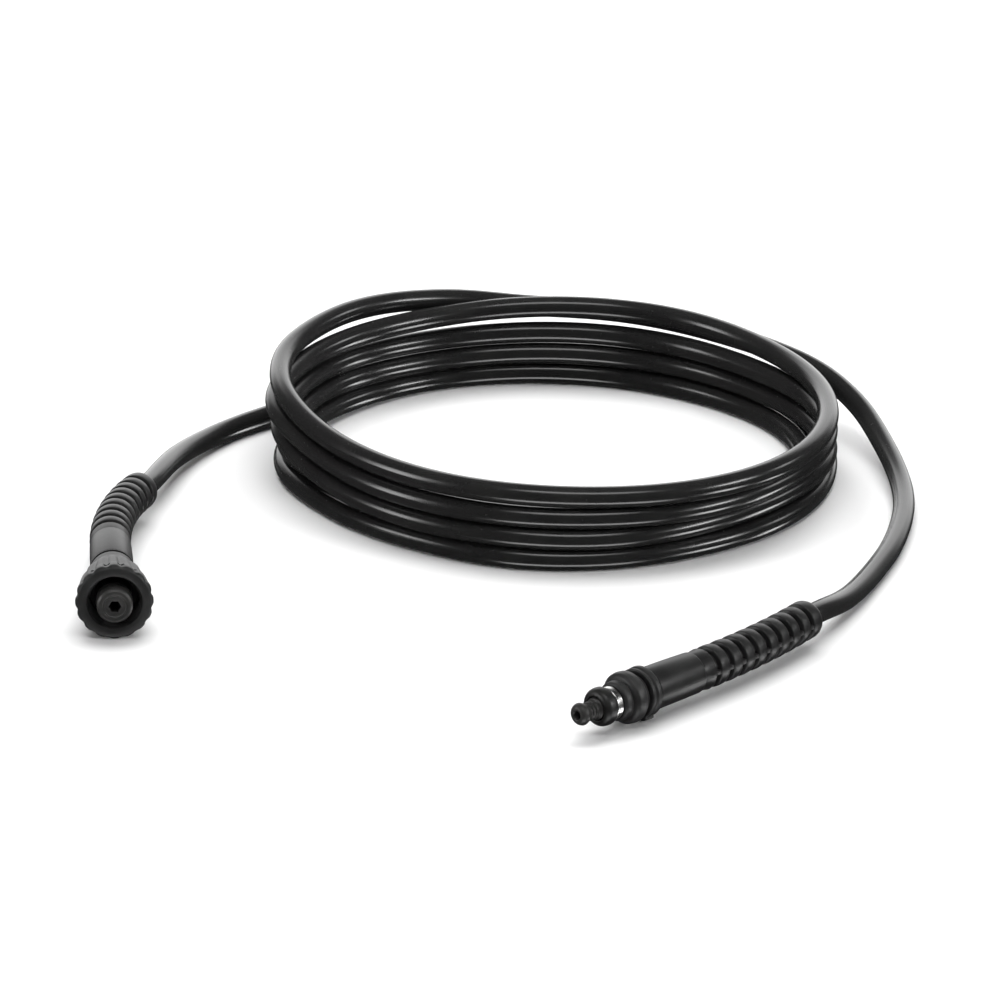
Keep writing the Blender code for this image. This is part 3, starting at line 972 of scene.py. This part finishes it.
@dataclass
class Studio:
    """White floor, bright patches all round, a soft light overhead and the camera."""

    camera_place: tuple[float, float, float] = (-0.0009, -3.6660, 1.3781)
    camera_pitch: float = 69.7
    lens: float = 336.96
    floor_size: float = 14.0
    ambient: float = 0.05
    panels: tuple[Panel, ...] = (
        Panel(180.0, 12.0, 32.0, 20.0, 1.9, 12.0),
        Panel(0.0, 61.5, 40.0, 6.0, 5.5),
        Panel(0.0, -50.0, 44.0, 8.0, 6.0),
        Panel(69.0, 20.0, 9.0, 5.0, 20.0, 4.0),
        Panel(69.0, -32.0, 9.0, 7.0, 13.0, 4.0),
        Panel(104.0, 20.0, 6.0, 4.0, 7.0, 3.0),
        Panel(104.0, -32.0, 6.0, 7.0, 12.0, 3.0),
        Panel(-78.0, 12.0, 8.0, 12.0, 8.0, 4.0),
    )

    def camera(self) -> None:
        """Camera at the photo's angle, long lens, no shift."""
        data = bpy.data.cameras.new("camera")
        data.lens = self.lens
        data.sensor_width = 36.0
        data.clip_end = 100.0
        camera = bpy.data.objects.new("camera", data)
        camera.location = self.camera_place
        camera.rotation_euler = (np.radians(self.camera_pitch), 0.0, 0.0)
        bpy.context.scene.collection.objects.link(camera)
        bpy.context.scene.camera = camera

    def floor(self) -> None:
        """A plain white floor with a faint mottle."""
        half = self.floor_size / 2
        mesh = bpy.data.meshes.new("floor")
        corners = [(-half, -half, 0), (half, -half, 0), (half, half, 0), (-half, half, 0)]
        mesh.from_pydata(corners, [], [(0, 1, 2, 3)])
        material = bpy.data.materials.new("studio_white")
        material.use_nodes = True
        graph = Graph(material.node_tree)
        place = graph.node("ShaderNodeTexCoord", {}, {}, "Object")
        mottle = graph.noise(place, 3.0, 2.0)
        sockets = {
            "Base Color": graph.tint(mottle, (0.90, 0.90, 0.90), (0.92, 0.92, 0.92)),
            "Roughness": 0.9,
            "Specular IOR Level": 0.1,
        }
        shader = graph.node("ShaderNodeBsdfPrincipled", {}, sockets)
        graph.node("ShaderNodeOutputMaterial", {}, {"Surface": shader})
        mesh.materials.append(material)
        floor = bpy.data.objects.new("floor", mesh)
        floor.visible_glossy = False
        bpy.context.scene.collection.objects.link(floor)

    def world(self) -> None:
        """Dim surroundings with the bright panels, each a product of smooth steps of two angles.

        The azimuth is counted from the camera's side to the right, the elevation from the horizon.
        """
        world = bpy.data.worlds.new("studio")
        bpy.context.scene.world = world
        world.use_nodes = True
        graph = Graph(world.node_tree)
        ray = graph.node("ShaderNodeTexCoord", {}, {}, "Generated")
        x = graph.node("ShaderNodeSeparateXYZ", {}, {"Vector": ray}, "X")
        y, z = (Wire(graph, x.socket.node.outputs[name]) for name in ("Y", "Z"))
        round_about = graph.maths("ARCTAN2", x, 0.0 - y) * (180 / np.pi)
        above = graph.maths("ARCSINE", z) * (180 / np.pi)
        strength = self.ambient
        for panel in self.panels:
            off = graph.maths("FLOORED_MODULO", round_about - panel.azimuth + 540.0, 360.0) - 180.0
            rise = above - panel.elevation
            wide, high, edge = panel.half_width, panel.half_height, panel.edge
            patch = 1.0 - off.size().between(wide - edge, wide + edge)
            patch = patch * (1.0 - rise.size().between(high - edge / 2, high + edge / 2))
            strength = strength + patch * panel.strength
        light = graph.node("ShaderNodeBackground", {}, {"Color": (1.0, 1.0, 1.0, 1.0), "Strength": strength})
        graph.node("ShaderNodeOutputWorld", {}, {"Surface": light})

    def softbox(self, name: str, azimuth: float, elevation: float, distance: float, size: tuple[float, float],
                power: float) -> None:
        """A flat light that faces the coil.

        Args:
            name: Its name.
            azimuth: Degrees to the right of the camera.
            elevation: Degrees above the floor.
            distance: Metres from the coil.
            size: Width and height in metres.
            power: Watts.
        """
        data = bpy.data.lights.new(name, "AREA")
        data.shape = "RECTANGLE"
        data.size, data.size_y = size
        data.energy = power
        light = bpy.data.objects.new(name, data)
        turn, rise = np.radians(azimuth), np.radians(elevation)
        level = distance * np.cos(rise)
        light.location = (level * np.sin(turn), -level * np.cos(turn), distance * np.sin(rise))
        light.rotation_euler = (np.radians(90.0 - elevation), 0.0, turn)
        light.visible_camera = False
        light.visible_glossy = False
        bpy.context.scene.collection.objects.link(light)

    def build(self) -> None:
        """Camera, floor, world and lights."""
        bpy.context.scene.view_settings.view_transform = "Standard"
        self.camera()
        self.floor()
        self.world()
        self.softbox("overhead", 180.0, 72.0, 2.2, (2.6, 1.5), 62.0)


def main() -> None:
    """Builds the studio, the hose and its two fittings."""
    logging.basicConfig(level=logging.INFO, format="%(message)s")
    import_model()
    Studio().build()
    LOG.info("studio")

    rubber = HoseRubber("black_rubber", (0.014, 0.014, 0.014), (0.022, 0.022, 0.021), 0.21, Slot.HOSE)
    grip = Finish("moulded_grip", (0.017, 0.017, 0.017), (0.026, 0.026, 0.026), 0.48, Slot.NUT)
    boot = Finish("moulded_boot", (0.012, 0.012, 0.012), (0.019, 0.019, 0.019), 0.40, Slot.BOOT, ior=1.44)
    nylon = TurnedFinish("turned_nylon", (0.020, 0.020, 0.019), (0.031, 0.030, 0.029), 0.40, Slot.STEM)
    seal = TurnedFinish("soft_seal", (0.008, 0.008, 0.008), (0.013, 0.013, 0.012), 0.40, Slot.SEAL)
    steel = TurnedFinish("plated_steel", (0.62, 0.62, 0.61), (0.78, 0.78, 0.77), 0.24, Slot.RING, 1.0)

    union = Lie((-0.1579, -0.1047, 0.0160), 93.7, -22.5, 13.0)
    plug = Lie((0.0294, -0.2179, 0.011482), 45.2, 13.0)
    hose = HoseRun(union, plug, rubber)
    tube = hose.build()
    LOG.info("hose, %d stations", len(hose.line))
    screw = ScrewUnion(union, grip, nylon)
    sleeve = BendProtector("ribbed_sleeve_union", "bend_protector_union", union, 38.3, boot)
    for piece in (screw.nut(), screw.nipple(), sleeve.build()):
        LOG.info("%s, %d faces", piece.name, len(piece.data.polygons))
    fittings = GunPlug(plug, grip, nylon, seal, steel).build()
    fittings.append(BendProtector("ribbed_sleeve_plug", "bend_protector_plug", plug, 39.7, boot).build())
    for piece in fittings:
        LOG.info("%s, %d faces", piece.name, len(piece.data.polygons))
    LOG.info("hose length %.3f m", hose.declare())


if __name__ == "__main__":
    main()
